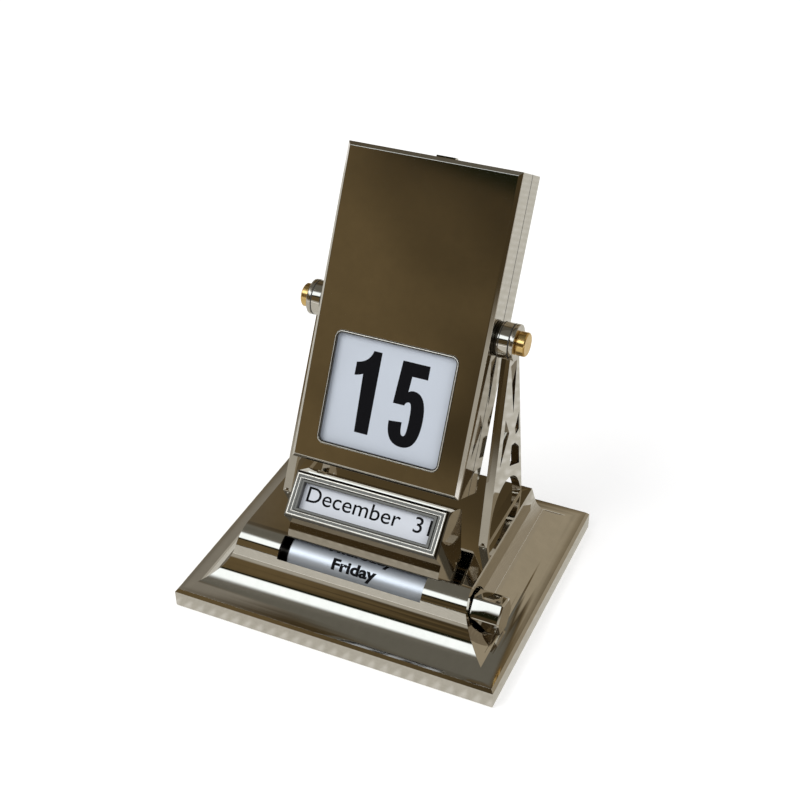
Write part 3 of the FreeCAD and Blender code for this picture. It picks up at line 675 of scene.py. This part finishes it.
def bend(start, step, parts):
    """Points of a cubic bend from start to the step's own point."""
    end = Vector(step[:2])
    first, second = Vector(step[2:4]), Vector(step[4:6])
    points = []
    for index in range(1, parts + 1):
        t = index / parts
        s = 1 - t
        points.append(start * s ** 3 + first * 3 * s * s * t + second * 3 * s * t * t + end * t ** 3)
    return points


def flat_outline(name, outline, matrix):
    """A filled flat shape from an outline in millimetres."""
    points = [Vector(outline[0][:2])]
    for step in outline[1:]:
        points += bend(points[-1], step, 10) if len(step) == 6 else [Vector(step)]
    form = bmesh.new()
    corners = [form.verts.new(matrix @ Vector((p.x * MM, p.y * MM, 0))) for p in points]
    face = form.faces.new(corners)
    bmesh.ops.triangulate(form, faces=[face])
    return mesh_of(name, form)


def flat_words(words, height, stretch, weight):
    """Words as a flat mesh, from the left end of their baseline, with capitals of this height."""
    text = bpy.data.curves.new(words, "FONT")
    text.body = words
    text.size = 1
    text.offset = weight
    text.resolution_u = 6
    holder = bpy.data.objects.new(words, text)
    bpy.context.scene.collection.objects.link(holder)
    bpy.context.view_layer.update()
    mesh = bpy.data.meshes.new_from_object(holder.evaluated_get(bpy.context.evaluated_depsgraph_get()))
    bpy.data.objects.remove(holder)
    scale = height / CAPITAL_SHARE
    for vertex in mesh.vertices:
        vertex.co = Vector((vertex.co.x * scale * stretch, vertex.co.y * scale, 0))
    return mesh


def left_end(mesh):
    return min(vertex.co.x for vertex in mesh.vertices)


def month_card_pieces():
    lettering = bpy.context.scene.calendar_lettering
    dress("month_card", "white_card")
    dress("month_card_stack", "white_card")
    out = ACROSS.cross(CARD_UP)
    face = reach("month_card", out)[1]
    low, high = reach("month_card", CARD_UP)
    mesh = flat_words(lettering.month, lettering.month_height, lettering.month_stretch, 0.004)
    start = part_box("month_card")[0][0] + MONTH_MARGIN - left_end(mesh)
    base = low + (high - low) * MONTH_BASELINE
    place = facing(CARD_UP, CARD_UP * base + out * (face + lettering.ink_depth))
    mesh.transform(place @ Matrix.Translation((start, 0, 0)))
    new_piece("month_words", mesh, "printing_ink", "month_card")


def roller_pieces():
    edge = bpy.context.scene.calendar_finishes.edge
    dress("weekday_drum", "grey_plastic")
    dress("weekday_label", "satin_sleeve")
    dress("roller_shaft", "turned_steel")
    dress("roller_clip", "turned_steel")
    dress("weekday_knob", "cast_nickel", edge * 1.4)
    # A black strip that paints the lip's shadow on the sleeve.
    new_piece("day_window_painted_shadow", painted_shadow_mesh(), "black_plastic", "base")
    lettering = bpy.context.scene.calendar_lettering
    low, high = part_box("weekday_label")
    radius = (high[2] - low[2]) / 2 + lettering.ink_depth
    for index, word in enumerate(WEEKDAYS):
        turn = math.radians(WINDOW_ANGLE + 360 / len(WEEKDAYS) * (lettering.weekday - index))
        mesh = flat_words(word, lettering.weekday_height, lettering.weekday_stretch, 0.042)
        wrap_words(mesh, radius, turn, lettering.weekday_height / 2)
        new_piece("weekday_" + word, mesh, "printing_ink", "weekday_roller")


def painted_shadow_mesh():
    """A matt black strip under the upper lip of the weekday window, which paints the shadow the lip casts on
    the sleeve.
    """
    tilt = math.radians(WINDOW_ANGLE)
    out = Vector((0, -math.cos(tilt), math.sin(tilt)))
    up = Vector((0, math.sin(tilt), math.cos(tilt)))
    form = bmesh.new()
    outline = ((-SHADOW_STRIP_HALF_LENGTH, SHADOW_STRIP_START), (SHADOW_STRIP_HALF_LENGTH, SHADOW_STRIP_START),
               (SHADOW_STRIP_HALF_LENGTH, SHADOW_STRIP_END), (-SHADOW_STRIP_HALF_LENGTH, SHADOW_STRIP_END))
    corners = [ROLLER + ACROSS * x + out * depth + up * SHADOW_STRIP_HEIGHT for x, depth in outline]
    form.faces.new([form.verts.new(corner) for corner in corners])
    return mesh_of("day_window_painted_shadow", form)


def wrap_words(mesh, radius, turn, middle):
    """Bends flat words round the roller, with their middle height at the given turn from the front."""
    form = bmesh.new()
    form.from_mesh(mesh)
    heights = [vertex.co.y for vertex in form.verts]
    slices = int((max(heights) - min(heights)) / SLICE_HEIGHT) + 1
    for index in range(slices):
        level = min(heights) + (max(heights) - min(heights)) * index / slices
        bmesh.ops.bisect_plane(form, geom=form.verts[:] + form.edges[:] + form.faces[:],
                               plane_co=(0, level, 0), plane_no=(0, 1, 0))
    left = min(vertex.co.x for vertex in form.verts)
    right = max(vertex.co.x for vertex in form.verts)
    for vertex in form.verts:
        angle = turn + (vertex.co.y - middle) / radius
        across = vertex.co.x - (left + right) / 2 + WEEKDAY_MIDDLE
        vertex.co = ROLLER + Vector((across, -radius * math.cos(angle), radius * math.sin(angle)))
    form.to_mesh(mesh)
    form.free()


def month_holder_pieces():
    edge = bpy.context.scene.calendar_finishes.edge
    dress("month_holder", "cast_nickel", edge)
    # The month frame: nickel painted darker, as painted shade.
    dress("month_frame", "frame_nickel_painted_shade", edge)
    dress("month_holder_screws", "turned_steel")
    out = ACROSS.cross(CARD_UP)
    crest = reach("month_frame", out)[1]
    low, high = reach("month_frame", CARD_UP)
    left, right = reach("month_frame", ACROSS)
    # Beads in a lighter metal that paint the frame's highlight lines.
    for name, inset, width in MONTH_FRAME_BEADS:
        path = corner_path(left + inset, right - inset, low + inset, high - inset, 0, 1)
        profile = half_round(0, width, -MONTH_BEAD_DEPTH, width / 2, 8)
        mesh = swept_ring(name, path, profile, facing(CARD_UP, out * crest))
        shade_smooth(mesh)
        new_piece(name, mesh, "painted_highlight_bead", "base")


def square_mesh(name, half):
    """A flat square from its middle to its edges."""
    mesh = bpy.data.meshes.new(name)
    corners = [(-half, -half, 0), (half, -half, 0), (half, half, 0), (-half, half, 0)]
    mesh.from_pydata(corners, [], [(0, 1, 2, 3)])
    return mesh


def mirrored_only(piece):
    """Hides a piece of the stage from all but mirrored rays."""
    for ray in ("camera", "diffuse", "transmission", "volume_scatter", "shadow"):
        setattr(piece, "visible_" + ray, False)


def stage_floor():
    """A plain pale floor that keeps the shadow and shows white near the object."""
    mesh = square_mesh("floor", FLOOR_REACH)
    floor = bpy.data.objects.new("floor", mesh)
    bpy.context.scene.collection.objects.link(floor)
    shader = new_finish("pale_floor")
    seen = background_rays(shader)
    matt = shader.node("ShaderNodeBsdfDiffuse", {}, {"Color": (0.86, 0.86, 0.86)}, "BSDF")
    glow = shader.node("ShaderNodeEmission", {}, {"Color": (1, 1, 1), "Strength": seen * 0.46}, "Emission")
    both = shader.node("ShaderNodeAddShader", {}, {0: matt, 1: glow}, "Shader")
    mesh.materials.append(shader.finish(both))


def background_rays(shader):
    """1 for rays that show the background: the camera's, and those mirrored or passed on to it."""
    camera = shader.node("ShaderNodeLightPath", {}, {}, "Is Camera Ray")
    glossy = shader.node("ShaderNodeLightPath", {}, {}, "Is Glossy Ray")
    passed = shader.node("ShaderNodeLightPath", {}, {}, "Is Transmission Ray")
    return camera.math("MAXIMUM", glossy).math("MAXIMUM", passed)


def stage_world():
    studio = bpy.context.scene.calendar_studio
    world = bpy.data.worlds.new("surroundings")
    bpy.context.scene.world = world
    shader = Shader(world, "ShaderNodeOutputWorld")
    seen = background_rays(shader)
    strength = seen * (1 - studio.ambient) + studio.ambient
    sky = shader.node("ShaderNodeBackground", {}, {"Color": (1, 1, 1), "Strength": strength}, "Background")
    shader.finish(sky)


def mirrored_room():
    """A dome that only mirrored rays meet, so that the metal has a room to reflect."""
    form = bmesh.new()
    bmesh.ops.create_uvsphere(form, u_segments=96, v_segments=64, radius=ROOM_RADIUS)
    below = [vertex for vertex in form.verts if vertex.co.z < -0.001]
    bmesh.ops.delete(form, geom=below, context="VERTS")
    mesh = mesh_of("mirrored_room", form)
    mesh.materials.append(room_finish())
    room = bpy.data.objects.new("mirrored_room", mesh)
    bpy.context.scene.collection.objects.link(room)
    mirrored_only(room)


def mirrored_table():
    """A knitted cloth on the table, which only mirrored rays meet."""
    mesh = square_mesh("mirrored_table", CLOTH_REACH)
    mesh.materials.append(cloth_finish())
    table = bpy.data.objects.new("mirrored_table", mesh)
    bpy.context.scene.collection.objects.link(table)
    table.location.z = 0.1 * MM
    mirrored_only(table)


def cloth_finish():
    """Pale knit, with a beige part to the right of the object."""
    shader = new_finish("mirrored_table")
    place = shader.object_place()
    right, back = shader.parts(place)[:2]
    wave = (right * 1500).math("SINE")
    wale = (wave * 0.5 + 0.5) * ((back * 1100 + wave).math("SINE") * 0.5 + 0.5)
    wool = shader.noise(place, 900, 3, 0.6)
    knit = wale * 0.55 + wool * 0.45
    beige = shader.rising(right - back * 0.85, -0.005, 0.03) * shader.rising(right, 0.050, 0.062)
    light = shader.blend(knit, (0.58, 0.565, 0.50), (0.93, 0.93, 0.90))
    dull = shader.blend(knit, (0.33, 0.285, 0.21), (0.52, 0.465, 0.37))
    tone = shader.blend(beige, light, dull)
    return shader.finish(shader.node("ShaderNodeEmission", {}, {"Color": tone, "Strength": 1.0}, "Emission"))


def room_finish():
    """Dark olive ahead with soft clouds, a pale horizon, a strip of window light over the dark, a dull
    ceiling, and beige behind on the right."""
    studio = bpy.context.scene.calendar_studio
    dark = tuple(studio.card)
    shader = new_finish("mirrored_room")
    place = shader.node("ShaderNodeVectorMath", {"operation": "NORMALIZE"}, {0: shader.object_place()})
    right, back, up = shader.parts(place)
    ahead = 1 - shader.rising(back, -0.45, -0.20)
    cloud = shader.rising(shader.noise(shader.stretched(place, (3.0, 2.0, 5.5)), 1.0, 2, 0.5), 0.42, 0.66)
    tone = shader.blend(cloud, scaled(dark, 0.86), scaled(dark, 2.0))
    tone = shader.blend(shader.band(up, 0.545, 0.600, 0.008) * ahead, tone, (0.012, 0.014, 0.005))
    tone = shader.blend(shader.rising(up, 0.78, 0.88), tone, (0.17, 0.165, 0.14))
    strip = shader.rising(up, 0.600, 0.640) * (1 - shader.rising(up, 0.80, 0.87)) * ahead
    tone = shader.blend(strip, tone, tuple(studio.strip))
    behind = shader.rising(back, 0.05, 0.30)
    beige = shader.rising(right, -0.22, -0.02) * behind * (1 - shader.rising(up, 0.72, 0.80))
    tone = shader.blend(beige, tone, (0.44, 0.385, 0.285))
    grey = shader.rising(0 - right, 0.38, 0.60) * behind
    tone = shader.blend(grey, tone, (0.30, 0.28, 0.24))
    low = shader.blend(beige, (0.52, 0.50, 0.44), (0.42, 0.37, 0.28))
    tone = shader.blend(1 - shader.rising(up, 0.10, 0.17), tone, low)
    glow = shader.node("ShaderNodeEmission", {}, {"Color": tone, "Strength": 1.0}, "Emission")
    return shader.finish(glow)


def stage_lamp(name, place, size, power, colour):
    lamp = bpy.data.lights.new(name, "AREA")
    lamp.shape = "RECTANGLE"
    lamp.size, lamp.size_y = size
    lamp.energy = power
    lamp.color = colour
    holder = bpy.data.objects.new(name, lamp)
    bpy.context.scene.collection.objects.link(holder)
    holder.location = place
    holder.rotation_euler = (LAMP_AIM - Vector(place)).to_track_quat("-Z", "Y").to_euler()


def stage_camera():
    studio = bpy.context.scene.calendar_studio
    turn, rise = studio.azimuth, studio.elevation
    back = Vector((math.sin(turn) * math.cos(rise), -math.cos(turn) * math.cos(rise), math.sin(rise)))
    across = Vector((math.cos(turn), math.sin(turn), 0))
    up = back.cross(across)
    side = across * math.cos(studio.roll) + up * math.sin(studio.roll)
    top = up * math.cos(studio.roll) - across * math.sin(studio.roll)
    camera = bpy.data.cameras.new("camera")
    camera.lens = studio.lens
    camera.sensor_width = 36
    camera.clip_start = 0.01
    holder = bpy.data.objects.new("camera", camera)
    bpy.context.scene.collection.objects.link(holder)
    columns = Matrix((side, top, back)).transposed().to_4x4()
    holder.matrix_world = Matrix.Translation(Vector(studio.target) + back * studio.distance) @ columns
    bpy.context.scene.camera = holder


def stage_pieces():
    scene = bpy.context.scene
    scene.view_settings.view_transform = "Standard"
    stage_camera()
    stage_world()
    stage_floor()
    mirrored_room()
    mirrored_table()
    key = scene.calendar_studio.key
    stage_lamp("key_lamp", (-0.55, -0.55, 1.0), (0.9, 0.5), key, (1.0, 0.985, 0.96))
    stage_lamp("fill_lamp", (0.9, -0.5, 0.8), (0.7, 0.7), key * 0.45, (0.97, 0.98, 1.0))


class CALENDAR_OT_stage(bpy.types.Operator):
    """Set up floor, lamps, mirrored room and camera"""

    bl_idname = "calendar.stage"
    bl_label = "Stage"

    def execute(self, context):
        stage_pieces()
        return {"FINISHED"}


class CALENDAR_OT_base(bpy.types.Operator):
    """Finish the cast base and what closes it"""

    bl_idname = "calendar.base"
    bl_label = "Base"

    def execute(self, context):
        base_pieces()
        return {"FINISHED"}


class CALENDAR_OT_towers(bpy.types.Operator):
    """Finish the pierced towers"""

    bl_idname = "calendar.towers"
    bl_label = "Towers"

    def execute(self, context):
        tower_pieces()
        return {"FINISHED"}


class CALENDAR_OT_pivots(bpy.types.Operator):
    """Finish pins, washers, brass caps and the bands of painted shade between them"""

    bl_idname = "calendar.pivots"
    bl_label = "Pivots"

    def execute(self, context):
        pivot_pieces()
        return {"FINISHED"}


class CALENDAR_OT_case(bpy.types.Operator):
    """Finish the flip case, its window beads and its seam"""

    bl_idname = "calendar.case"
    bl_label = "Case"

    def execute(self, context):
        case_pieces()
        return {"FINISHED"}


class CALENDAR_OT_tiles(bpy.types.Operator):
    """Finish the tiles and print the date"""

    bl_idname = "calendar.tiles"
    bl_label = "Date tiles"

    def execute(self, context):
        tile_pieces()
        return {"FINISHED"}


class CALENDAR_OT_holder(bpy.types.Operator):
    """Finish the month holder and its frame"""

    bl_idname = "calendar.holder"
    bl_label = "Month holder"

    def execute(self, context):
        month_holder_pieces()
        return {"FINISHED"}


class CALENDAR_OT_month_card(bpy.types.Operator):
    """Finish the cards and print the month"""

    bl_idname = "calendar.month_card"
    bl_label = "Month card"

    def execute(self, context):
        month_card_pieces()
        return {"FINISHED"}


class CALENDAR_OT_roller(bpy.types.Operator):
    """Finish the roller and print the weekdays"""

    bl_idname = "calendar.roller"
    bl_label = "Weekday roller"

    def execute(self, context):
        roller_pieces()
        return {"FINISHED"}


OPERATORS = [CALENDAR_OT_stage,
             CALENDAR_OT_base,
             CALENDAR_OT_towers,
             CALENDAR_OT_pivots,
             CALENDAR_OT_case,
             CALENDAR_OT_tiles,
             CALENDAR_OT_holder,
             CALENDAR_OT_month_card,
             CALENDAR_OT_roller]


class CALENDAR_PT_looks(bpy.types.Panel):
    """Lists the steps that dress the calendar"""

    bl_idname = "CALENDAR_PT_looks"
    bl_label = "Desk Calendar"
    bl_space_type = "VIEW_3D"
    bl_region_type = "UI"
    bl_category = "Calendar"

    def draw(self, context):
        for made in OPERATORS:
            self.layout.operator(made.bl_idname)
        for group in ("calendar_finishes", "calendar_lettering", "calendar_studio"):
            settings = getattr(context.scene, group)
            box = self.layout.box()
            for name in settings.__annotations__:
                box.prop(settings, name)


CLASSES = [Finishes, Lettering, Studio, *OPERATORS, CALENDAR_PT_looks]


def register():
    for made in CLASSES:
        bpy.utils.register_class(made)
    bpy.types.Scene.calendar_finishes = bpy.props.PointerProperty(type=Finishes)
    bpy.types.Scene.calendar_lettering = bpy.props.PointerProperty(type=Lettering)
    bpy.types.Scene.calendar_studio = bpy.props.PointerProperty(type=Studio)


def unregister():
    del bpy.types.Scene.calendar_finishes
    del bpy.types.Scene.calendar_lettering
    del bpy.types.Scene.calendar_studio
    for made in reversed(CLASSES):
        bpy.utils.unregister_class(made)


def main():
    register()
    for made in OPERATORS:
        step = getattr(bpy.ops.calendar, made.bl_idname.split(".")[1])
        step()


if __name__ == "__main__":
    main()
